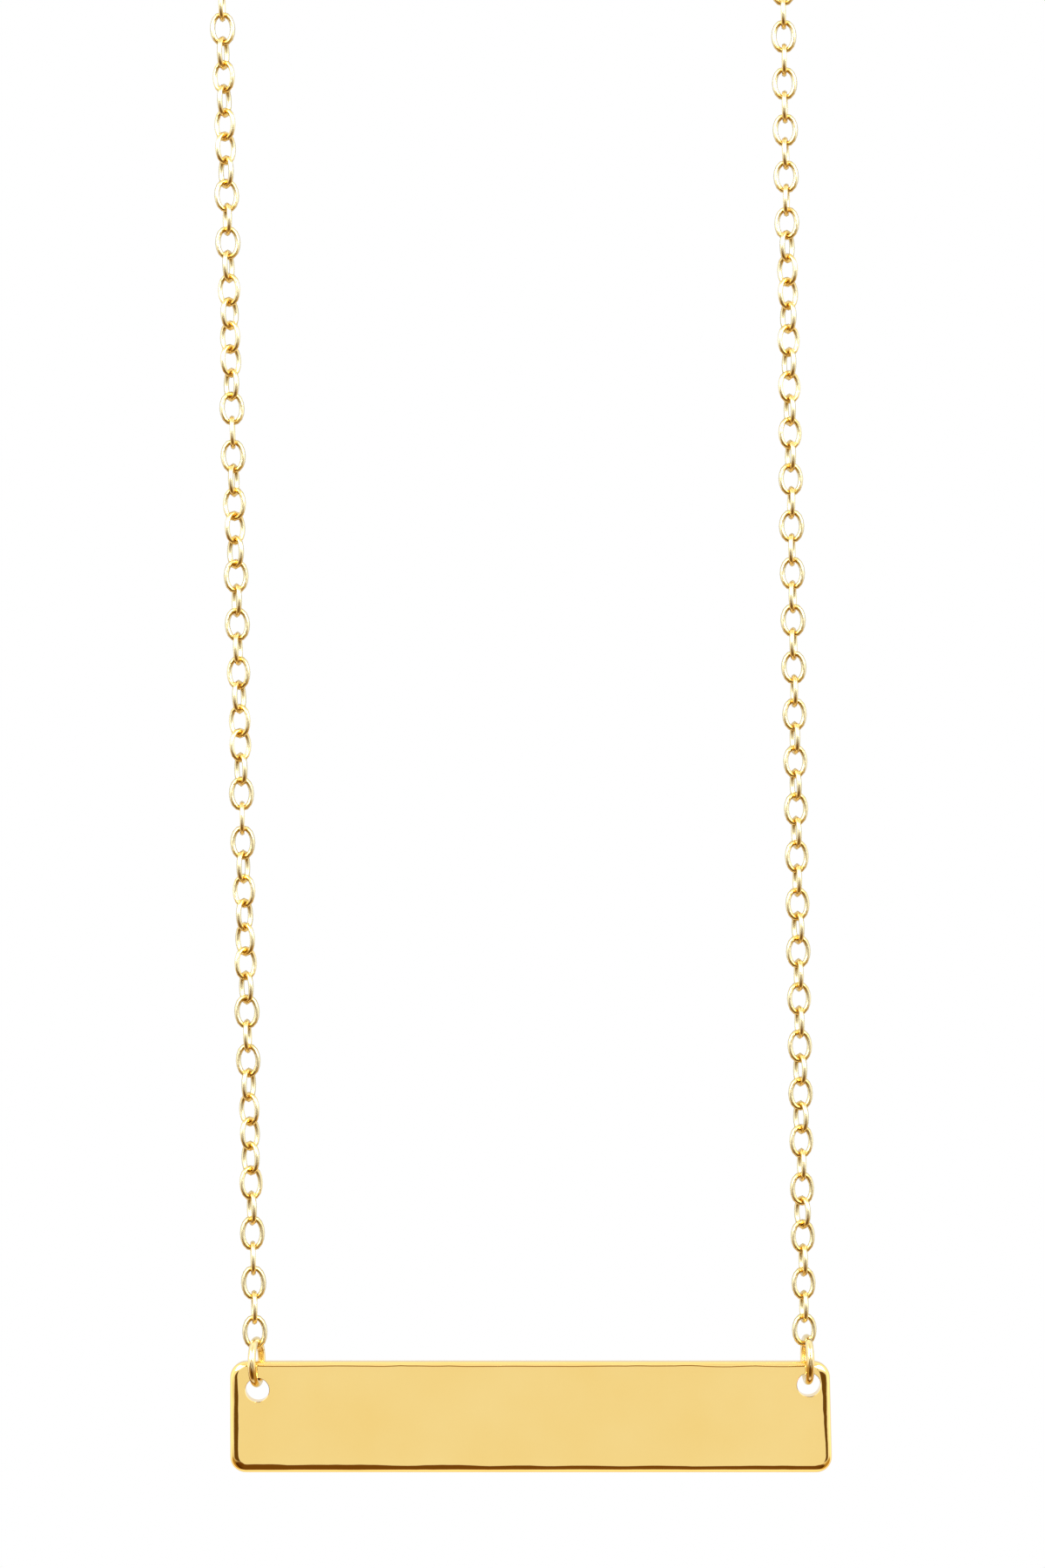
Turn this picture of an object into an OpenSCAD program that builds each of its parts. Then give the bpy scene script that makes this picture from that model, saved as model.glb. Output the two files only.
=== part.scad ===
// Bar pendant necklace, in millimetres. The loop hangs from the origin, +Z is up
// and the polished face of the bar looks toward -Y.

/* [Bar] */
// length of the bar
bar_length = 38; // [20:0.5:60]
// height of the bar
bar_height = 7; // [5:0.5:14]
// thickness of the plate
bar_thickness = 1.2; // [0.9:0.1:1.5]
// rounding along every edge of the plate
edge_round = 0.45; // [0.1:0.05:0.45]
// rounding of the four corners, seen from the front
corner_round = 1; // [0.6:0.1:2]

/* [Holes] */
// drilled hole size, both ends
hole_d = 1.5; // [1.4:0.1:2]
// left hole, in from the left end
left_hole_in = 1.73; // [1.3:0.01:4]
// left hole, down from the top edge
left_hole_down = 1.76; // [1.4:0.01:1.8]
// right hole, in from the right end
right_hole_in = 1.5; // [1.3:0.01:4]
// right hole, down from the top edge
right_hole_down = 1.43; // [1.3:0.01:1.8]

/* [Jump rings] */
// outside width of each jump ring
ring_d = 3.2; // [3.2:0.1:5]
// ring wire
ring_wire = 0.5; // [0.4:0.05:0.5]
// how far the left ring is turned from edge on
left_ring_turn = -10; // [-12:1:12]
// how far the right ring is turned from edge on
right_ring_turn = 5; // [-12:1:12]

/* [Chain] */
// outside length of one oval link
link_length = 2.13; // [2:0.01:3]
// outside width of one oval link
link_width = 1.6; // [1.5:0.05:2.4]
// link wire
link_wire = 0.26; // [0.2:0.02:0.3]
// how far the left strand leans over from upright
left_lean = 1.5; // [0:0.01:3]
// how far the right strand leans over from upright
right_lean = 0.91; // [0:0.01:3]

/* [Clasp] */
// outside width of the clasp ring
clasp_d = 5; // [4:0.5:8]
// wire of the clasp ring
clasp_wire = 0.7; // [0.5:0.05:0.8]
// outside width of the eye soldered to it
eye_d = 2.4; // [2.2:0.1:3.4]
// wire of the eye
eye_wire = 0.5; // [0.4:0.05:0.6]

/* [Loop] */
// once round the necklace, bar and clasp with it
loop_length = 406; // [300:1:410]

/* [Clearances] */
// free space between two links, and between a link and a ring
link_gap = 0.11; // [0.1:0.01:0.2]
// free space between a jump ring and its hole
ring_gap = 0.1; // [0.05:0.01:0.2]

/* [Hidden] */
gold = [0.93, 0.78, 0.42];

// how far the links turn about the strand, read up from the lowest link
LINK = 0;
TURN = 1;
left_twist = [
  [0, 0], [6, 18], [8.5, 45], [11, 78], [13, 90], [15.5, 135], [18, 168], [20, 180],
  [22, 188], [24.5, 225], [27, 263], [29, 270], [31, 280], [32.5, 315], [35, 352],
  [38, 370], [40.5, 405], [43, 440], [45, 450], [47, 460], [49.5, 495], [52, 530],
  [54, 540]
];
right_twist = [
  [0, 0], [20, 4], [26, -10], [32, 0], [39, 12], [42, 6], [44.5, 45], [47, 88], [49, 90]
];

// bar and its holes, with z counted from the middle of the bar
hole_r = hole_d / 2;
left_hole_x = -bar_length / 2 + left_hole_in;
left_hole_up = bar_height / 2 - left_hole_down;
right_hole_x = bar_length / 2 - right_hole_in;
right_hole_up = bar_height / 2 - right_hole_down;

// jump rings: the hole's upper edge rides on the inside of the ring
ring_r = (ring_d - ring_wire) / 2;
ring_in = ring_r - ring_wire / 2;
function hole_sag(turn) =
  hole_r - sqrt(pow(hole_r, 2) - pow(ring_wire / 2 + bar_thickness / 2 * abs(sin(turn)), 2));
function ring_seat(turn) =
  hole_r + sqrt(pow(ring_in, 2) - pow(bar_thickness / 2, 2)) - hole_sag(turn) - ring_gap;
left_ring_up = left_hole_up + ring_seat(left_ring_turn);
right_ring_up = right_hole_up + ring_seat(right_ring_turn);

// chain links: round wire bent to an oval with two straight sides
bend_r = (link_width - link_wire) / 2;
side_half = (link_length - link_width) / 2;
pitch = link_length - 2 * link_wire - link_gap;
reach_ring = ring_in - link_gap + link_length / 2 - link_wire;

// clasp: the ring and its eye lie flat across the top of the loop
clasp_r = (clasp_d - clasp_wire) / 2;
eye_r = (eye_d - eye_wire) / 2;
eye_x = clasp_r + clasp_wire / 2 + eye_r;
clasp_span = eye_x + eye_r + clasp_r;
reach_eye = link_length / 2 - link_wire - link_gap - eye_wire / 2;
reach_clasp = link_length / 2 - link_wire - link_gap - clasp_wire / 2;

// loop: two straight leaning strands, joined by two bends and the flat clasp
left_head = 90 + left_lean;
right_head = 90 + right_lean;
ring_span = right_hole_x - left_hole_x;
function top_bend(h) =
  (ring_span + (h - right_ring_up) / tan(right_head) - (h - left_ring_up) / tan(left_head)
  - clasp_span)
  / ((1 + cos(right_head)) / sin(right_head) + (1 - cos(left_head)) / sin(left_head));
function left_straight(h) =
  (h - left_ring_up - top_bend(h) * (1 - cos(left_head))) / sin(left_head);
function right_straight(h) =
  (h - right_ring_up - top_bend(h) * (1 + cos(right_head))) / sin(right_head);
function left_run(h) = left_straight(h) + top_bend(h) * left_head * PI / 180;
function right_run(h) = right_straight(h) + top_bend(h) * (180 - right_head) * PI / 180;
function once_round(h) = left_run(h) + right_run(h) + clasp_span + ring_span;
top = (loop_length - once_round(0)) / (once_round(1) - once_round(0));
bend = top_bend(top);

left_count = round((left_run(top) - reach_ring - reach_eye) / pitch) + 1;
left_pitch = (left_run(top) - reach_ring - reach_eye) / (left_count - 1);
right_count = round((right_run(top) - reach_ring - reach_clasp) / pitch) + 1;
right_pitch = (right_run(top) - reach_ring - reach_clasp) / (right_count - 1);

// places in the shared frame
bar_z = -top + clasp_wire / 2;
top_z = clasp_wire / 2;
loop_x = -(left_hole_x + left_straight(top) * cos(left_head)
  + right_hole_x + right_straight(top) * cos(right_head)) / 2;
clasp_x = loop_x + left_hole_x + left_straight(top) * cos(left_head)
  + bend * sin(left_head) + eye_x + eye_r;

// turn of a link, and of the last link so that it sits square on the clasp
function looked_up(t, i, k = 0) =
  k >= len(t) - 1 ? t[len(t) - 1][TURN]
  : i <= t[k + 1][LINK]
    ? t[k][TURN] + (t[k + 1][TURN] - t[k][TURN]) * (i - t[k][LINK])
      / (t[k + 1][LINK] - t[k][LINK])
    : looked_up(t, i, k + 1);
function last_turn(t) = t[len(t) - 1][TURN];
function squared(t, n) =
  ((n - 1 + round(last_turn(t) / 90)) % 2) == 0
    ? 90 * round(last_turn(t) / 90) : 90 * round(last_turn(t) / 90) + 90;
function twist_at(t, n, i) =
  i <= t[len(t) - 1][LINK] ? looked_up(t, i)
  : last_turn(t) + (squared(t, n) - last_turn(t)) * (i - t[len(t) - 1][LINK])
    / (n - 1 - t[len(t) - 1][LINK]);

echo(left_count = left_count, left_pitch = left_pitch);
echo(right_count = right_count, right_pitch = right_pitch);
echo(top = top, bend = bend, clasp_x = clasp_x, loop_x = loop_x, bar_z = bar_z);
echo(left_ring = [loop_x + left_hole_x, bar_z + left_ring_up]);
echo(right_ring = [loop_x + right_hole_x, bar_z + right_ring_up]);

module rim_section() {
  intersection() {
    union() {
      translate([0, -bar_thickness / 2]) square([corner_round - edge_round, bar_thickness]);
      translate([0, -bar_thickness / 2 + edge_round])
        square([corner_round, bar_thickness - 2 * edge_round]);
      for (s = [-1, 1])
        translate([corner_round - edge_round, s * (bar_thickness / 2 - edge_round)])
          circle(edge_round, $fn = 72);
    }
    translate([0, -bar_thickness]) square([corner_round, 2 * bar_thickness]);
  }
}

module rim_straight(length) {
  rotate([90, 0, 0]) linear_extrude(length) rim_section();
}

// plate lying flat, its front face up
module plate() {
  cx = bar_length / 2 - corner_round;
  cy = bar_height / 2 - corner_round;
  difference() {
    union() {
      cube([2 * cx, 2 * cy, bar_thickness], center = true);
      for (q = [0 : 3])
        translate([(q == 0 || q == 3 ? 1 : -1) * cx, (q < 2 ? 1 : -1) * cy, 0])
          rotate([0, 0, q * 90])
            rotate_extrude(angle = 90, $fn = 72) rim_section();
      for (s = [0, 180])
        rotate([0, 0, s]) {
          translate([cx, cy, 0]) rim_straight(2 * cy);
          translate([-cx, cy, 0]) rotate([0, 0, 90]) rim_straight(2 * cx);
        }
    }
    translate([left_hole_x, left_hole_up, 0])
      cylinder(r = hole_r, h = 2 * bar_thickness, center = true, $fn = 72);
    translate([right_hole_x, right_hole_up, 0])
      cylinder(r = hole_r, h = 2 * bar_thickness, center = true, $fn = 72);
  }
}

module bar() {
  color(gold)
    translate([loop_x, 0, bar_z])
      rotate([90, 0, 0])
        plate();
}

module wire_ring(r, wire) {
  rotate_extrude($fn = 72) translate([r, 0]) circle(d = wire, $fn = 36);
}

module ring_left() {
  color(gold)
    translate([loop_x + left_hole_x, 0, bar_z + left_ring_up])
      rotate([0, 90, left_ring_turn])
        wire_ring(ring_r, ring_wire);
}

module ring_right() {
  color(gold)
    translate([loop_x + right_hole_x, 0, bar_z + right_ring_up])
      rotate([0, 90, right_ring_turn])
        wire_ring(ring_r, ring_wire);
}

// one link standing on end in the XZ plane
module link() {
  for (s = [-1, 1])
    translate([s * bend_r, 0, -side_half])
      cylinder(d = link_wire, h = 2 * side_half, $fn = 24);
  for (a = [0, 180])
    rotate([0, a, 0])
      translate([0, 0, side_half])
        rotate([90, 0, 0])
          rotate_extrude(angle = 180, $fn = 24)
            translate([bend_r, 0]) circle(d = link_wire, $fn = 24);
}

// strand of n links, straight to begin with, then bending toward the clasp
module strand(n, step, straight, head, side, table) {
  for (i = [0 : n - 1]) {
    s = reach_ring + i * step;
    along = min(s, straight);
    round_by = max(s - straight, 0) / bend * 180 / PI;
    heading = head - side * round_by;
    px = along * cos(head) + side * bend * (sin(head) - sin(heading));
    pz = along * sin(head) + side * bend * (cos(heading) - cos(head));
    translate([px, 0, pz])
      rotate([0, 90 - heading, 0])
        rotate([0, 0, 90 * i + twist_at(table, n, i)])
          link();
  }
}

module chain_left() {
  color(gold)
    translate([loop_x + left_hole_x, 0, bar_z + left_ring_up])
      strand(left_count, left_pitch, left_straight(top), left_head, 1, left_twist);
}

module chain_right() {
  color(gold)
    translate([loop_x + right_hole_x, 0, bar_z + right_ring_up])
      strand(right_count, right_pitch, right_straight(top), right_head, -1, right_twist);
}

module clasp() {
  color(gold)
    translate([clasp_x, 0, top_z]) {
      wire_ring(clasp_r, clasp_wire);
      translate([-eye_x, 0, 0]) wire_ring(eye_r, eye_wire);
    }
}

bar();
ring_left();
ring_right();
chain_left();
chain_right();
clasp();
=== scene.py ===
import math
import random

import bpy
from mathutils import Matrix, Vector


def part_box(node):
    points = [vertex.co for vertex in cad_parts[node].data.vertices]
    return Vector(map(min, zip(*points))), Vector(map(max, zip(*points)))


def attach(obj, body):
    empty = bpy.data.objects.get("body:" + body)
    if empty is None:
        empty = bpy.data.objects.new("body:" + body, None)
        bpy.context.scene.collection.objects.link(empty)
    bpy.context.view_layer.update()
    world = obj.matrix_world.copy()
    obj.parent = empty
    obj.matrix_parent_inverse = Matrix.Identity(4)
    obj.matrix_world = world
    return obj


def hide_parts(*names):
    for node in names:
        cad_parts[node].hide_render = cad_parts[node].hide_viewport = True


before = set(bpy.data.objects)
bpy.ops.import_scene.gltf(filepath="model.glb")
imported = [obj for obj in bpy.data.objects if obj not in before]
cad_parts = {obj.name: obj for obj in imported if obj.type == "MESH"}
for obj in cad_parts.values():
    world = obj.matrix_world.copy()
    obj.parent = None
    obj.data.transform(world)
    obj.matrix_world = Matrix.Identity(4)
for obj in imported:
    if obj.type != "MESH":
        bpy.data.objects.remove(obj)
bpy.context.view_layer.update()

MM = 0.001
random.seed(27)

# ---------------------------------------------------------------- sizes
# wire and link sizes
ring_wire = 0.50 * MM
link_wire = 0.33 * MM
link_width = 1.60 * MM
clasp_wire = 0.70 * MM
eye_wire = 0.50 * MM
eye_radius = 1.20 * MM
solder_size = (0.30 * MM, 0.42 * MM, 0.27 * MM)

# the bar: the thickness left between its two rims, its rounding, how far the right
# end's top was sawn off square, and how far the rim's line wanders
plate_core = 0.294 * MM
corner_round = 1.0 * MM
edge_round = 0.42 * MM
sawn_off = 0.17 * MM
rim_wander = 0.16 * MM

# the two holes, from the plate's left and right ends and its top edge
hole_radius = 0.75 * MM
hole_chamfer = 0.03 * MM
left_hole = (1.73 * MM, 1.76 * MM)
right_hole = (1.50 * MM, 1.43 * MM)

# the dressed line isn't straight down the ends: which end (-1 left, 1 right), how far
# out from the core it starts to act, and the shift sideways from the top and from
# each further mm down, all in mm
end_shifts = [
    (-1, 0.25, (0, 0, -0.003, -0.004, -0.004, -0.003)),
    (-1, 0.34, (0, 0, -0.003, -0.004, -0.004, -0.003)),
    (-1, 0.385, (0, 0, -0.004, -0.004, -0.004, -0.004)),
    (-1, 0.40, (0, 0.018, 0.020, 0.032, 0.035, 0.03)),
    (1, 0.15, (0, 0.005, 0.005, 0.005, 0.005, 0.005)),
    (1, 0.25, (0, 0.005, 0.005, 0.005, 0.005, 0.005)),
    (1, 0.34, (0, 0.005, 0.005, 0.005, 0.005, 0.005)),
    (1, 0.385, (0, 0.005, 0.005, 0.005, 0.005, 0.005)),
    (1, 0.40, (-0.06, 0.028, 0.028, 0.026, 0.010, 0.010)),
]
end_strip = 0.9 * MM
# nor along the foot: how far out it starts to act, and the lift from the left and
# from each further stretch to the right
foot_lifts = [
    (0.34, (0.03, -0.008, -0.008, -0.008, -0.008, 0, 0, 0)),
    (0.40, (0.03, -0.014, -0.014, -0.014, -0.014, 0.004, 0.004, 0.004)),
]
foot_stretch = 5.2 * MM

# how far each jump ring is turned from edge on, its lean, and where round it the
# wire's two ends meet, in degrees
left_ring_turn, left_ring_lean, left_ring_seam = -10, 1.5, 118
right_ring_turn, right_ring_lean, right_ring_seam = 5, 1.0, -150
# how far round the ring the wire reaches
ring_wound = 357.6
# the rings ride this much above their solids, up against the holes, and a
# little to the left of them
left_ring_lift, right_ring_lift = 0.22 * MM, 0.02 * MM
left_ring_aside, right_ring_aside = -0.065 * MM, -0.06 * MM
# and each strand starts a little to the left of its ring's middle
left_strand_aside, right_strand_aside = -0.07 * MM, -0.16 * MM

# each strand: lean from upright in degrees, and its links
left_lean, right_lean = 1.42, 0.91
left_links, right_links = 119, 122
# hand-laid links: the most that one is off in turn and in heading, in degrees
turn_slack, heading_slack = 3.5, 1.2

# turns of the links about the strand, read up from the lowest link
left_twist = [
    (0, 4), (3, 7), (5, 15), (7, 44), (8, 43), (9, 52), (10, 62), (11, 77), (13, 92),
    (14, 120), (15, 124), (16, 142), (17, 144), (18, 157), (19, 157), (20, 172),
    (22, 188), (23, 207), (24, 216), (25, 239), (26, 248), (28, 260), (29, 270),
    (30, 289), (31, 285), (32, 310), (33, 314), (34, 338), (35, 346), (37, 363),
    (38, 372), (39, 393), (41, 415), (42, 416), (44, 437), (45, 452), (46, 465),
    (47, 468), (48, 485), (49, 489), (50, 505), (51, 514), (53, 520), (54, 540),
    (118, 540),
]
right_twist = [
    (0, 12), (4, 12), (5, 28), (6, 12), (8, 12), (9, 30), (10, 12), (11, 23), (12, 12),
    (16, 12), (17, 22), (18, 12), (23, 14), (25, 10), (27, 4), (29, -9), (33, -11),
    (35, 4), (37, 14), (39, 20), (41, 22), (43, 28), (44, 37), (45, 50), (46, 54),
    (47, 76), (49, 80), (51, 82), (53, 84), (121, 90),
]
# the links aren't all quite of one length: how far each stands above its even
# place, in mm
left_creep = [
    (0, 0.03), (3.2, 0.12), (6.5, 0.33), (9.8, 0.39), (13, 0.44), (20, 0.45), (23, 0.50),
    (33, 0.50), (36.4, 0.45), (39.7, 0.39), (43, 0.28), (46.3, 0.17), (49.7, 0.06),
    (53, 0), (119, 0),
]
right_creep = [
    (0, 0.04), (2.9, -0.02), (6.3, 0.04), (9.6, 0.09), (13, 0.15), (16.2, 0.15),
    (19.5, 0.20), (22.9, 0.26), (36, 0.26), (39.5, 0.15), (42.8, 0.09), (46, 0.09),
    (49.4, 0.04), (52.7, -0.02), (60, 0), (122, 0),
]


# ---------------------------------------------------------------- bench helpers
def clear_bench():
    """Nothing selected and nothing in edit mode."""
    if bpy.context.object and bpy.context.object.mode != "OBJECT":
        bpy.ops.object.mode_set(mode="OBJECT")
    bpy.ops.object.select_all(action="DESELECT")


def take(piece):
    clear_bench()
    piece.select_set(True)
    bpy.context.view_layer.objects.active = piece
    return piece


def new_piece(name):
    """The primitive just added, with its place moved into its mesh."""
    piece = bpy.context.object
    piece.name = name
    piece.data.name = name
    bpy.ops.object.transform_apply(location=True, rotation=True, scale=True)
    return piece


def open_piece(piece, mode="VERT"):
    take(piece)
    bpy.ops.object.mode_set(mode="EDIT")
    bpy.ops.mesh.select_mode(type=mode)
    bpy.ops.mesh.select_all(action="DESELECT")
    bpy.ops.object.mode_set(mode="OBJECT")


def pick(piece, kind, test):
    """Selects verts, edges or polygons by their place, and goes into edit mode."""
    open_piece(piece, {"vertices": "VERT", "edges": "EDGE", "polygons": "FACE"}[kind])
    mesh = piece.data
    for part in getattr(mesh, kind):
        part.select = bool(test(mesh, part))
    bpy.ops.object.mode_set(mode="EDIT")


def done():
    bpy.ops.object.mode_set(mode="OBJECT")


def ends(mesh, edge):
    return [mesh.vertices[i].co for i in edge.vertices]


def finish_with(piece, kind, name, **settings):
    """Adds a modifier and applies it."""
    take(piece)
    m = piece.modifiers.new(name, kind)
    for key, value in settings.items():
        setattr(m, key, value)
    bpy.ops.object.modifier_apply(modifier=m.name)


def middle(node):
    low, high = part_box(node)
    return (low + high) / 2, high - low


def hand_over(piece, node, body, finish):
    piece.data.materials.clear()
    piece.data.materials.append(finish)
    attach(piece, body)
    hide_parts(node)


# ---------------------------------------------------------------- gold
def gold(name, colour, deep, polish, pits, joint_shade_tone=None):
    """Polished gold plate: soft colour drift, fine wheel marks and faint pitting.
    Where the link-end attribute is high, the colour turns to the given dark tone: painted
    shade where the chain's links hang in one another."""
    mat = bpy.data.materials.new(name)
    mat.use_nodes = True
    nodes, wire = mat.node_tree.nodes, mat.node_tree.links.new
    shader = nodes["Principled BSDF"]
    shader.inputs["Metallic"].default_value = 1.0
    shader.inputs["IOR"].default_value = 1.5
    place = nodes.new("ShaderNodeTexCoord")

    drift = nodes.new("ShaderNodeTexNoise")
    drift.inputs["Scale"].default_value = 190
    drift.inputs["Detail"].default_value = 3
    wire(place.outputs["Object"], drift.inputs["Vector"])
    tone = nodes.new("ShaderNodeValToRGB")
    tone.color_ramp.elements[0].position = 0.30
    tone.color_ramp.elements[0].color = (*deep, 1)
    tone.color_ramp.elements[1].position = 0.72
    tone.color_ramp.elements[1].color = (*colour, 1)
    wire(drift.outputs["Fac"], tone.inputs["Fac"])
    if joint_shade_tone:
        # painted shade: the colour goes over to the given dark tone at the links' ends
        joint_shade = nodes.new("ShaderNodeAttribute")
        joint_shade.attribute_name = "joint_shade"
        joint_shade_mix = nodes.new("ShaderNodeMix")
        joint_shade_mix.data_type = "RGBA"
        joint_shade_mix.inputs[7].default_value = (*joint_shade_tone, 1)
        wire(joint_shade.outputs["Fac"], joint_shade_mix.inputs["Factor"])
        wire(tone.outputs["Color"], joint_shade_mix.inputs[6])
        wire(joint_shade_mix.outputs[2], shader.inputs["Base Color"])
    else:
        wire(tone.outputs["Color"], shader.inputs["Base Color"])

    # wheel marks run along the bar
    stretch = nodes.new("ShaderNodeMapping")
    stretch.inputs["Scale"].default_value = (500, 9000, 14000)
    wire(place.outputs["Object"], stretch.inputs["Vector"])
    marks = nodes.new("ShaderNodeTexNoise")
    marks.inputs["Scale"].default_value = 1.0
    marks.inputs["Detail"].default_value = 4
    wire(stretch.outputs["Vector"], marks.inputs["Vector"])
    smear = nodes.new("ShaderNodeMapRange")
    smear.inputs["From Min"].default_value = 0.3
    smear.inputs["From Max"].default_value = 0.75
    smear.inputs["To Min"].default_value = polish
    smear.inputs["To Max"].default_value = polish + 0.07
    wire(marks.outputs["Fac"], smear.inputs["Value"])
    wire(smear.outputs["Result"], shader.inputs["Roughness"])

    grit = nodes.new("ShaderNodeTexNoise")
    grit.inputs["Scale"].default_value = 6500
    grit.inputs["Detail"].default_value = 5
    wire(place.outputs["Object"], grit.inputs["Vector"])
    relief = nodes.new("ShaderNodeBump")
    relief.inputs["Strength"].default_value = pits
    relief.inputs["Distance"].default_value = 0.004 * MM
    wire(grit.outputs["Fac"], relief.inputs["Height"])
    wire(relief.outputs["Normal"], shader.inputs["Normal"])
    return mat


plate_gold = gold("plate gold", (0.99, 0.735, 0.285), (0.975, 0.70, 0.245), 0.035, 0.10)
ring_gold = gold("ring gold", (0.86, 0.70, 0.38), (0.82, 0.64, 0.31), 0.14, 0.08)
# painted shade: the chain's gold is darker and paler than the plate's, standing in for the
# dimmer light its thin links send back
shaded_chain_gold = gold("chain gold", (0.83, 0.74, 0.47), (0.79, 0.69, 0.41), 0.25, 0.05,
                  # the dark tone of the painted shade at the link ends
                  joint_shade_tone=(0.74, 0.47, 0.08))
clasp_gold = gold("clasp gold", (1.0, 0.79, 0.42), (0.97, 0.73, 0.34), 0.09, 0.08)


# ---------------------------------------------------------------- the bar
def cut_plate():
    """A sawn slab, its corners rounded, its rim dressed and its face polished flat."""
    centre, size = middle("bar")
    bpy.ops.mesh.primitive_cube_add(
        size=1, location=centre, scale=(size.x, plate_core, size.z))
    plate = new_piece("bar_plate")

    # the right end was sawn a little off square
    right, top = centre.x + size.x / 2, centre.z + size.z / 2
    pick(plate, "vertices",
         lambda m, v: v.co.x > right - 0.01 * MM and v.co.z > top - 0.01 * MM)
    bpy.ops.transform.translate(value=(-sawn_off, 0, 0))
    done()

    # corners
    pick(plate, "edges",
         lambda m, e: abs((ends(m, e)[0] - ends(m, e)[1]).y) > plate_core / 2)
    bpy.ops.mesh.bevel(offset=corner_round, segments=10, affect="EDGES")
    done()

    # enough points along the long and short sides for the rim to wander
    long_run, short_run = size.x * 0.5, size.z * 0.5
    for least, cuts in ((long_run, 69), (short_run, 11)):
        pick(plate, "edges", lambda m, e: (ends(m, e)[0] - ends(m, e)[1]).length > least)
        bpy.ops.mesh.subdivide(number_cuts=cuts)
        done()

    # rim: a round edge in steps, then a dressed bevel running in to the flat face;
    # each ring of it lies so far in and so far out from the last, then is lifted,
    # put aside and narrowed
    steps = [math.radians(a) for a in (0, 15, 30, 45, 58, 69)]
    lifts = [0.02, 0.02, 0.02, 0, 0.015]
    rim = [(edge_round * (math.cos(a) - math.cos(b)),
            edge_round * (math.sin(b) - math.sin(a)), lift * MM, 0, 0)
           for a, b, lift in zip(steps, steps[1:], lifts)]
    rim.append((0.045 * MM, 0.041 * MM, 0.025 * MM, -0.040 * MM, 0.13 * MM))
    polished_away = 0.002 * MM
    rise = size.y / 2 - polished_away - plate_core / 2 - sum(step[1] for step in rim)
    rim.append((0.06 * MM, 0.88 * rise, 0, 0, 0))
    rim.append((0.05 * MM, 0.12 * rise, 0, 0, 0))
    for side in (-1, 1):
        group = plate.vertex_groups.new(name="rim" + str(side))
        flat = [p for p in plate.data.polygons if p.normal.y * side > 0.99]
        edge = max(p.center.y * side for p in flat)
        pick(plate, "polygons", lambda m, p: p.normal.y * side > 0.99
             and p.center.y * side > edge - 0.01 * MM)
        for n, (across, up, lift, aside, narrow) in enumerate(rim):
            bpy.ops.mesh.inset(thickness=across, depth=0, use_even_offset=True)
            bpy.ops.transform.translate(value=(aside, side * up, lift))
            bpy.ops.transform.resize(value=(1 - 2 * narrow / size.x, 1, 1),
                                     center_override=centre)
            if n > 0:
                bpy.context.scene.tool_settings.vertex_group_weight = min(n / 4, 1)
                bpy.ops.object.vertex_group_set_active(group=group.name)
                bpy.ops.object.vertex_group_assign()
        done()

    # the dressed line leans down both ends and rises toward the left along the foot
    for end, depth, shifts in end_shifts:
        for n, shift in enumerate(shifts):
            pick(plate, "vertices", lambda m, v: abs(v.co.y) > plate_core / 2 + depth * MM
                 and (v.co.x - centre.x) * end > size.x / 2 - end_strip
                 and v.co.z < top - n * MM)
            bpy.ops.transform.translate(value=(shift * MM, 0, 0))
            done()
    for depth, lifts in foot_lifts:
        for n, lift in enumerate(lifts):
            pick(plate, "vertices", lambda m, v: abs(v.co.y) > plate_core / 2 + depth * MM
                 and v.co.z < centre.z and v.co.x > centre.x + foot_stretch * (n - 4))
            bpy.ops.transform.translate(value=(0, 0, lift * MM))
            done()
    return plate


def wander(plate):
    """The rim was dressed by hand, so its line wanders a little."""
    for side, ripple in ((-1, 2.8 * MM), (1, 2.3 * MM)):
        for axis in "XZ":
            cloud = bpy.data.textures.new("hand dressing", "CLOUDS")
            cloud.noise_scale = ripple
            cloud.noise_depth = 2
            finish_with(plate, "DISPLACE", "wander", texture=cloud, direction=axis,
                        strength=rim_wander, mid_level=0.5,
                        vertex_group="rim" + str(side))


def drill(plate):
    """Both holes, each with its sharp edges just broken."""
    centre, size = middle("bar")
    top = centre.z + size.z / 2
    wall = size.y / 2 - hole_chamfer
    flare = 0.2 * MM
    pick(plate, "polygons", lambda m, p: abs(p.normal.y) > 0.999 and p.loop_total > 4)
    bpy.ops.mesh.quads_convert_to_tris(quad_method="BEAUTY", ngon_method="BEAUTY")
    done()
    for x, z in ((centre.x - size.x / 2 + left_hole[0], top - left_hole[1]),
                 (centre.x + size.x / 2 - right_hole[0], top - right_hole[1])):
        bpy.ops.object.select_all(action="DESELECT")
        bpy.ops.mesh.primitive_cylinder_add(
            vertices=60, radius=hole_radius, depth=2 * wall,
            location=(x, 0, z), rotation=(math.pi / 2, 0, 0))
        bit = new_piece("drill")
        for side in (-1, 1):
            pick(bit, "polygons", lambda m, p: p.normal.y * side > 0.9)
            bpy.ops.mesh.extrude_region_move(
                TRANSFORM_OT_translate={"value": (0, side * flare, 0)})
            bpy.ops.transform.resize(
                value=(1 + flare / hole_radius, 1, 1 + flare / hole_radius),
                center_override=(x, side * (wall + flare), z))
            done()
        finish_with(plate, "BOOLEAN", "hole", operation="DIFFERENCE", solver="EXACT",
                    object=bit)
        bpy.data.objects.remove(bit)
    pick(plate, "polygons", lambda m, p: abs(p.normal.y) > 0.99999)
    bpy.ops.mesh.dissolve_limited(angle_limit=math.radians(0.5))
    bpy.ops.mesh.select_all(action="SELECT")
    bpy.ops.mesh.fill_holes(sides=8)
    done()


def polish(piece, angle):
    take(piece)
    bpy.ops.object.shade_smooth_by_angle(angle=math.radians(angle))
    finish_with(piece, "WEIGHTED_NORMAL", "true faces", keep_sharp=True, weight=100)


plate = cut_plate()
wander(plate)
drill(plate)
polish(plate, 40)
hand_over(plate, "bar", "bar", plate_gold)


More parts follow.
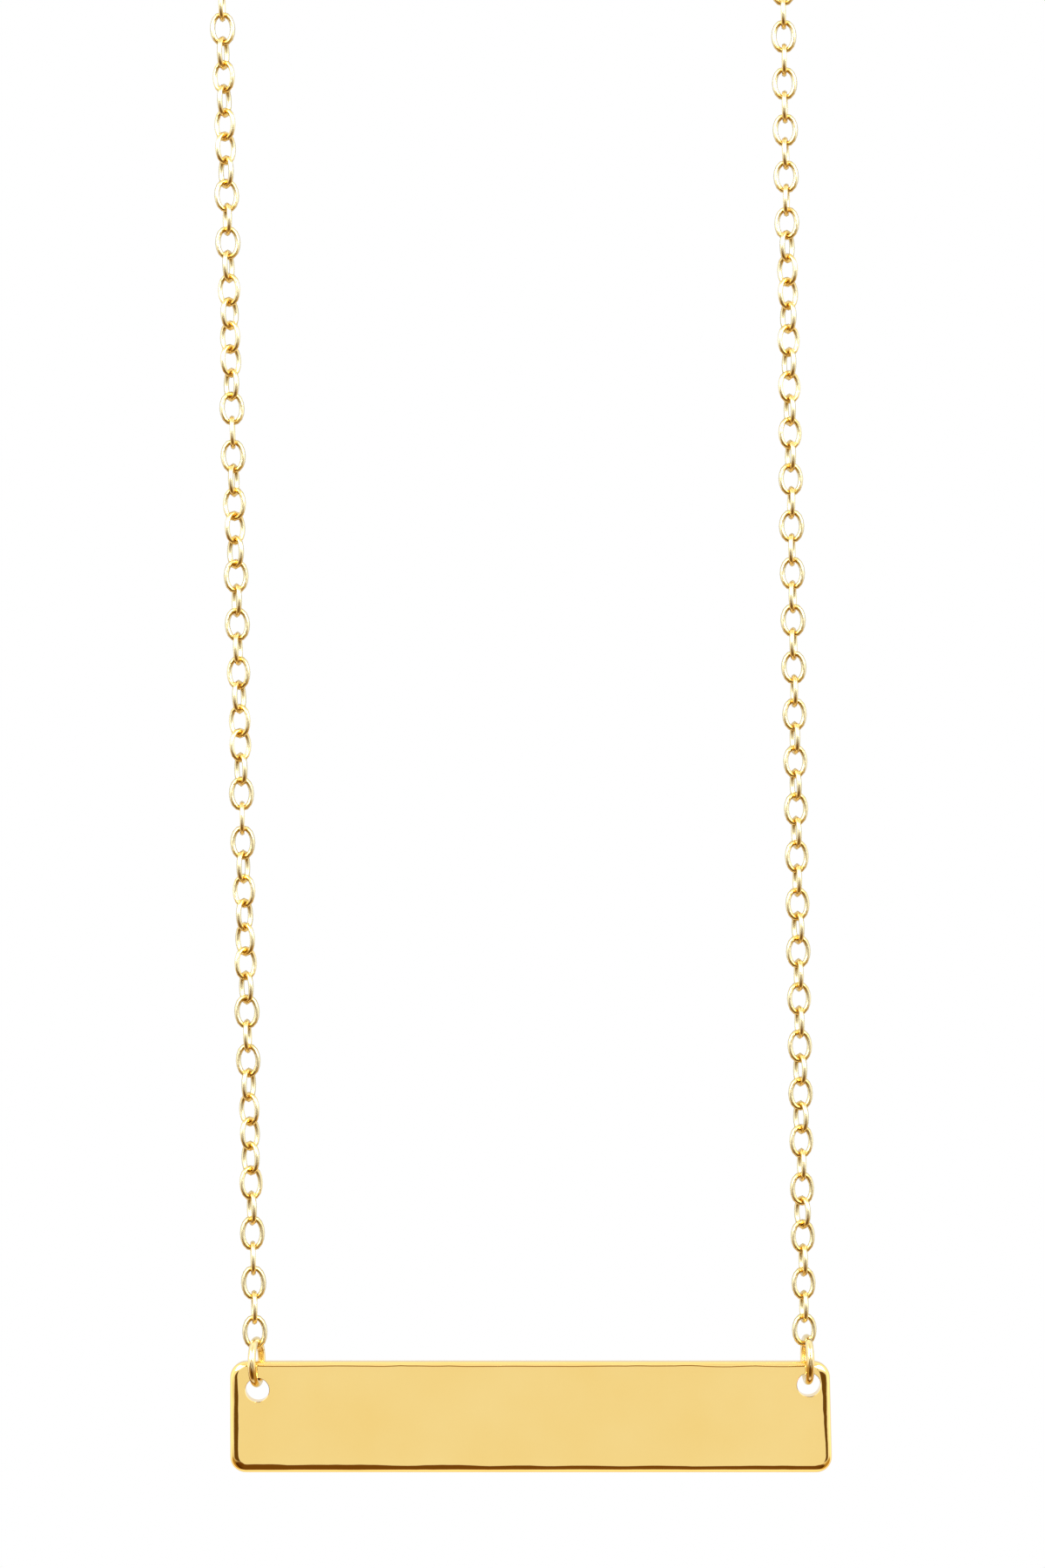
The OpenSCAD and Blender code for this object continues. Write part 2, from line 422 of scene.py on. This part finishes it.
# ---------------------------------------------------------------- jump rings
def bend_ring(name, node, aside, lift, seam_at):
    """Round wire wound once, with the cut where its two ends meet."""
    centre, size = middle(node)
    centre = centre + Vector((aside, 0, lift))
    radius = (size.z - ring_wire) / 2
    start = centre + Vector((0, radius * math.sin(seam_at), -radius * math.cos(seam_at)))
    bpy.ops.object.select_all(action="DESELECT")
    bpy.ops.mesh.primitive_circle_add(
        vertices=20, radius=ring_wire / 2, fill_type="NGON", location=start,
        rotation=(seam_at, 0, 0))
    ring = new_piece(name)
    # turned so that the wire's end faces along the ring
    open_piece(ring, "FACE")
    bpy.ops.object.mode_set(mode="EDIT")
    bpy.ops.mesh.select_all(action="SELECT")
    bpy.ops.transform.rotate(value=math.pi / 2, orient_axis="X", center_override=start)
    bpy.ops.mesh.spin(steps=80, angle=math.radians(ring_wound), center=centre,
                      axis=(1, 0, 0))
    done()
    return ring, centre


def close_ring(ring, centre, turn, lean):
    """Both wire ends filed flat, and the ring turned to how it hangs."""
    open_piece(ring, "EDGE")
    bpy.ops.object.mode_set(mode="EDIT")
    bpy.ops.mesh.select_all(action="SELECT")
    bpy.ops.mesh.remove_doubles(threshold=0.001 * MM)
    bpy.ops.mesh.select_all(action="DESELECT")
    bpy.ops.mesh.select_non_manifold()
    bpy.ops.mesh.edge_face_add()
    bpy.ops.mesh.select_all(action="SELECT")
    bpy.ops.mesh.normals_make_consistent(inside=False)
    bpy.ops.transform.rotate(value=-math.radians(turn), orient_axis="Z",
                             center_override=centre)
    bpy.ops.transform.rotate(value=math.radians(lean), orient_axis="Y",
                             center_override=centre)
    done()


centres = {}
for name, node, turn, lean, aside, lift, seam_at in (
        ("jump_ring_left", "ring_left", left_ring_turn, left_ring_lean,
         left_ring_aside, left_ring_lift, math.radians(left_ring_seam)),
        ("jump_ring_right", "ring_right", right_ring_turn, right_ring_lean,
         right_ring_aside, right_ring_lift, math.radians(right_ring_seam))):
    ring, centre = bend_ring(name, node, aside, lift, seam_at)
    close_ring(ring, centre, turn, lean)
    take(ring)
    bpy.ops.object.shade_smooth_by_angle(angle=math.radians(40))
    hand_over(ring, node, "strands", ring_gold)
    centres[node] = centre


# ---------------------------------------------------------------- clasp
def make_clasp():
    """A plain round clasp ring with its eye soldered on, lying flat. Gives back where
    the last links of the left and right strand cross its wire, and its height."""
    low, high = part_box("clasp")
    z = (low.z + high.z) / 2
    outer = (high.y - low.y) / 2
    ring_at = Vector((high.x - outer, 0, z))
    eye_at = Vector((low.x + eye_radius, 0, z))
    bpy.ops.object.select_all(action="DESELECT")
    bpy.ops.mesh.primitive_torus_add(
        major_segments=96, minor_segments=24, major_radius=outer - clasp_wire / 2,
        minor_radius=clasp_wire / 2, location=ring_at)
    clasp = new_piece("clasp_ring")
    joined = [clasp]
    bpy.ops.object.select_all(action="DESELECT")
    bpy.ops.mesh.primitive_torus_add(
        major_segments=64, minor_segments=20, major_radius=eye_radius - eye_wire / 2,
        minor_radius=eye_wire / 2, location=eye_at)
    joined.append(new_piece("eye"))
    bpy.ops.object.select_all(action="DESELECT")
    bpy.ops.mesh.primitive_uv_sphere_add(
        segments=24, ring_count=16, radius=1,
        location=(ring_at.x - outer + 0.02 * MM, 0, z),
        scale=solder_size)
    joined.append(new_piece("solder"))
    for other in joined[1:]:
        finish_with(clasp, "BOOLEAN", "solder", operation="UNION", solver="EXACT",
                    object=other)
        bpy.data.objects.remove(other)
    take(clasp)
    bpy.ops.object.shade_smooth_by_angle(angle=math.radians(60))
    hand_over(clasp, "clasp", "strands", clasp_gold)
    return low.x + eye_wire / 2, high.x - clasp_wire / 2, z


eye_x, clasp_x, top_z = make_clasp()


# ---------------------------------------------------------------- chain
def look_up(table, i):
    """The value at link i, straight between the table's rows."""
    for (a, va), (b, vb) in zip(table, table[1:]):
        if i <= b:
            return va + (vb - va) * (i - a) / (b - a)
    return table[-1][1]


def link_at(place, heading, turn):
    """Stands a link at its place along its heading, turned about the strand."""
    return (Matrix.Translation(place)
            @ Matrix.Rotation(math.radians(90 - heading), 4, "Y")
            @ Matrix.Rotation(math.radians(turn), 4, "Z"))


def bend_link(length):
    """One oval link standing on end: round wire bent to an oval."""
    clear_bench()
    bpy.ops.curve.primitive_bezier_circle_add(radius=(link_width - link_wire) / 2)
    wire = bpy.context.object
    bpy.ops.object.mode_set(mode="EDIT")
    bpy.ops.transform.resize(
        value=(1, (length - link_wire) / (link_width - link_wire), 1))
    done()
    wire.data.resolution_u = 4
    wire.data.bevel_depth = link_wire / 2
    wire.data.bevel_resolution = 1
    bpy.ops.object.convert(target="MESH")
    wire = bpy.context.object
    wire.rotation_euler = (math.pi / 2, 0, 0)
    link = new_piece("link")
    bpy.ops.object.shade_smooth()
    # painted shade on both ends, most of all on their insides where the next links hang
    half_x, half_z = (link_width - link_wire) / 2, (length - link_wire) / 2
    joint_shade = link.data.attributes.new("joint_shade", "FLOAT", "POINT")
    for v, mark in zip(link.data.vertices, joint_shade.data):
        end = min(max((abs(v.co.z) / half_z - 0.42) / 0.38, 0), 1)
        out = math.hypot(v.co.x / half_x, v.co.z / half_z)
        inside = min(max((1.16 - out) / 0.24, 0), 1)
        mark.value = end * (0.55 + 0.45 * inside)
    return link


def string_links(name, node, ring_node, aside, lean, count, side, twist, creep,
                 far_x, far_wire):
    """Links laid one by one from the jump ring up the strand and over to the clasp."""
    start = centres[ring_node] + Vector((aside, 0, 0))
    head = 90 + lean
    ring_in = (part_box(ring_node)[1].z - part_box(ring_node)[0].z) / 2 - ring_wire
    h = math.radians(head)
    # bend radius and straight length that carry the strand to the clasp's wire
    sweep = h if side > 0 else math.pi - h
    rise = 1 - math.cos(sweep)
    run = math.sin(sweep)
    dz, dx = top_z - start.z, (far_x - start.x) * side
    lean_out = math.cos(h) * side
    # dz = s * sin(h) + b * rise, dx = s * lean_out + b * run
    det = math.sin(h) * run - rise * lean_out
    straight = (dz * run - rise * dx) / det
    bend = (math.sin(h) * dx - lean_out * dz) / det
    length = straight + bend * sweep
    first_end = ring_in
    last_end = length + far_wire / 2
    # links just touch: n * pitch + 2 wires spans from the ring to the clasp wire
    span = last_end - first_end
    pitch = span / count
    link_length = pitch + 2 * link_wire
    link = bend_link(link_length)
    laid = []
    for i in range(count):
        s = first_end - link_wire + link_length / 2 + i * pitch + look_up(creep, i) * MM
        longer = (look_up(creep, i + 1) - look_up(creep, i - 1)) / 2 * MM
        along = min(s, straight)
        rounded = max(s - straight, 0) / bend
        heading = h - side * rounded
        place = start + Vector((
            along * math.cos(h) + side * bend * (math.sin(h) - math.sin(heading)),
            0,
            along * math.sin(h) + side * bend * (math.cos(heading) - math.cos(h))))
        turn = 90 * i + look_up(twist, i) + random.uniform(-turn_slack, turn_slack)
        one = link.copy()
        one.data = link.data.copy()
        bpy.context.scene.collection.objects.link(one)
        heading = math.degrees(heading) + random.uniform(-heading_slack, heading_slack)
        one.matrix_world = (link_at(place, heading, turn)
                            @ Matrix.Scale(1 + longer / link_length, 4, (0, 0, 1)))
        laid.append(one)
    bpy.data.objects.remove(link)
    clear_bench()
    for one in laid:
        one.select_set(True)
    bpy.context.view_layer.objects.active = laid[0]
    bpy.ops.object.join()
    hand_over(new_piece(name), node, "strands", shaded_chain_gold)


string_links("strand_left", "chain_left", "ring_left", left_strand_aside, left_lean,
             left_links, 1, left_twist, left_creep, eye_x, eye_wire)
string_links("strand_right", "chain_right", "ring_right", right_strand_aside, right_lean,
             right_links, -1, right_twist, right_creep, clasp_x, clasp_wire)


# ---------------------------------------------------------------- studio
floor_radius, floor_depth, floor_z = 500 * MM, 10 * MM, -310 * MM

# areas of the tent that the metal mirrors darker: the way to each, full within so many
# degrees of it and gone at so many, and its tone
dim_areas = [
    # the lines down the bar's left and right ends
    ((-0.465, -0.874, -0.144), 13, 17, (0.13, 0.064, 0.011)),
    ((0.465, -0.874, -0.144), 13, 17, (0.13, 0.064, 0.011)),
    # the olive line along its top
    ((0, -0.945, 0.326), 10, 15, (0.32, 0.20, 0.07)),
    ((0, -0.57, 0.82), 20, 38, (0.78, 0.75, 0.68)),
    # the line along its foot
    ((-0.08, -0.64, -0.77), 28, 35, (0.17, 0.08, 0.015)),
    # the links' undersides
    ((-0.68, -0.30, -0.66), 26, 38, (0.42, 0.27, 0.08)),
    ((0.68, -0.25, -0.70), 26, 38, (0.46, 0.31, 0.10)),
]

# softboxes: left and right, both aimed at the bar
softbox_side, softbox_power = 460 * MM, 7.0
softbox_places = {"softbox_left": (-420 * MM, -500 * MM, 250 * MM),
                  "softbox_right": (440 * MM, -500 * MM, 250 * MM)}

# the camera's place from the middle of the bar
camera_aside, camera_y, camera_up = -0.55 * MM, -275 * MM, 39.93 * MM
camera_lens, film_width = 100, 36


def floor():
    """A pale floor well below the hanging bar."""
    bpy.ops.object.select_all(action="DESELECT")
    bpy.ops.mesh.primitive_cylinder_add(vertices=128, radius=floor_radius,
                                        depth=floor_depth, location=(0, 0, floor_z))
    slab = new_piece("studio_floor")
    pick(slab, "edges", lambda m, e: abs(ends(m, e)[0].z - ends(m, e)[1].z) < MM)
    bpy.ops.mesh.bevel(offset=2 * MM, segments=3, affect="EDGES")
    done()
    mat = bpy.data.materials.new("pale floor")
    mat.use_nodes = True
    nodes, wire = mat.node_tree.nodes, mat.node_tree.links.new
    shader = nodes["Principled BSDF"]
    shader.inputs["Roughness"].default_value = 0.85
    place = nodes.new("ShaderNodeTexCoord")
    cloud = nodes.new("ShaderNodeTexNoise")
    cloud.inputs["Scale"].default_value = 12
    wire(place.outputs["Object"], cloud.inputs["Vector"])
    tone = nodes.new("ShaderNodeValToRGB")
    tone.color_ramp.elements[0].color = (0.88, 0.88, 0.88, 1)
    tone.color_ramp.elements[1].color = (0.93, 0.93, 0.93, 1)
    wire(cloud.outputs["Fac"], tone.inputs["Fac"])
    wire(tone.outputs["Color"], shader.inputs["Base Color"])
    slab.data.materials.append(mat)
    slab.visible_glossy = False


def white_tent():
    """Plain white to the camera, and a bright tent with dim areas to the metal."""
    world = bpy.data.worlds.new("white tent")
    bpy.context.scene.world = world
    world.use_nodes = True
    nodes, wire = world.node_tree.nodes, world.node_tree.links.new
    nodes.clear()
    out = nodes.new("ShaderNodeOutputWorld")
    seen = nodes.new("ShaderNodeLightPath")
    mix = nodes.new("ShaderNodeMixShader")
    plain = nodes.new("ShaderNodeBackground")
    plain.inputs["Color"].default_value = (1, 1, 1, 1)
    plain.inputs["Strength"].default_value = 1.0
    tent = nodes.new("ShaderNodeBackground")
    tent.inputs["Strength"].default_value = 1.0
    wire(seen.outputs["Is Camera Ray"], mix.inputs["Fac"])
    wire(tent.outputs["Background"], mix.inputs[1])
    wire(plain.outputs["Background"], mix.inputs[2])
    wire(mix.outputs["Shader"], out.inputs["Surface"])

    way = nodes.new("ShaderNodeTexCoord")

    def toward(direction):
        """1 straight toward the direction, 0 square to it and -1 away from it."""
        dot = nodes.new("ShaderNodeVectorMath")
        dot.operation = "DOT_PRODUCT"
        dot.inputs[1].default_value = direction
        wire(way.outputs["Generated"], dot.inputs[0])
        return dot.outputs["Value"]

    def facing(direction, stops, smooth="EASE"):
        """A tone by how far from the direction one looks."""
        share = nodes.new("ShaderNodeMath")
        share.operation = "MULTIPLY_ADD"
        share.inputs[1].default_value = 0.5
        share.inputs[2].default_value = 0.5
        wire(toward(direction), share.inputs[0])
        ramp = nodes.new("ShaderNodeValToRGB")
        ramp.color_ramp.interpolation = smooth
        marks = ramp.color_ramp.elements
        while len(marks) < len(stops):
            marks.new(0.5)
        for mark, (at, tone) in zip(marks, stops):
            mark.position = at
            mark.color = (*tone, 1)
        wire(share.outputs["Value"], ramp.inputs["Fac"])
        return ramp.outputs["Color"]

    def at(degrees):
        """The ramp's position for an angle from its direction."""
        return 0.5 + 0.5 * math.cos(math.radians(degrees))

    front = facing((0, -0.9895, -0.1443), [
        (at(180), (0.9, 0.9, 0.9)), (at(128), (0.9, 0.9, 0.9)),
        (at(112), (1.35, 1.35, 1.35)), (at(78), (1.35, 1.35, 1.35)),
        (at(52), (1.08, 1.08, 1.08)),
        (at(15.5), (1.15, 1.15, 1.15)), (at(12), (1.1, 1.1, 1.1)),
        (at(9.5), (0.955, 0.955, 0.93)), (at(0), (0.92, 0.92, 0.895))], "LINEAR")
    below = facing((0, 0, 1), [
        (at(180), (0.95, 0.84, 0.66)), (at(125), (0.95, 0.84, 0.64)),
        (at(100), (1, 1, 1)), (at(0), (1, 1, 1))])

    def dimmed(direction, core, fade, tone):
        """White but for a round area of the tone."""
        share = nodes.new("ShaderNodeMapRange")
        share.inputs["From Min"].default_value = math.cos(math.radians(fade))
        share.inputs["From Max"].default_value = math.cos(math.radians(core))
        wire(toward(Vector(direction).normalized()), share.inputs["Value"])
        dim = nodes.new("ShaderNodeMix")
        dim.data_type = "RGBA"
        dim.inputs[6].default_value = (1, 1, 1, 1)
        dim.inputs[7].default_value = (*tone, 1)
        wire(share.outputs["Result"], dim.inputs["Factor"])
        return dim.outputs[2]

    def both(a, b):
        shade = nodes.new("ShaderNodeMix")
        shade.data_type = "RGBA"
        shade.blend_type = "MULTIPLY"
        shade.inputs["Factor"].default_value = 1.0
        wire(a, shade.inputs[6])
        wire(b, shade.inputs[7])
        return shade.outputs[2]

    light = both(front, below)
    for area in dim_areas:
        light = both(light, dimmed(*area))
    wire(light, tent.inputs["Color"])


def softbox(name, place, aim):
    data = bpy.data.lights.new(name, "AREA")
    data.shape = "RECTANGLE"
    data.size = data.size_y = softbox_side
    data.energy = softbox_power
    lamp = bpy.data.objects.new(name, data)
    bpy.context.scene.collection.objects.link(lamp)
    lamp.location = place
    lamp.rotation_euler = (Vector(aim) - Vector(place)).to_track_quat("-Z", "Y").to_euler()
    lamp.visible_camera = False


plate_mid = middle("bar")[0]
floor()
white_tent()
for name, place in softbox_places.items():
    softbox(name, place, plate_mid)


# ---------------------------------------------------------------- camera
def set_camera():
    """Straight on, level, with the bar low in the frame."""
    data = bpy.data.cameras.new("camera")
    data.lens = camera_lens
    data.sensor_width = film_width
    data.clip_start, data.clip_end = 0.01, 20
    camera = bpy.data.objects.new("camera", data)
    bpy.context.scene.collection.objects.link(camera)
    camera.location = (plate_mid.x + camera_aside, camera_y, plate_mid.z + camera_up)
    camera.rotation_euler = (math.pi / 2, 0, 0)
    bpy.context.scene.camera = camera


set_camera()
bpy.context.scene.view_settings.view_transform = "Standard"
bpy.context.scene.view_settings.look = "None"

clear_bench()
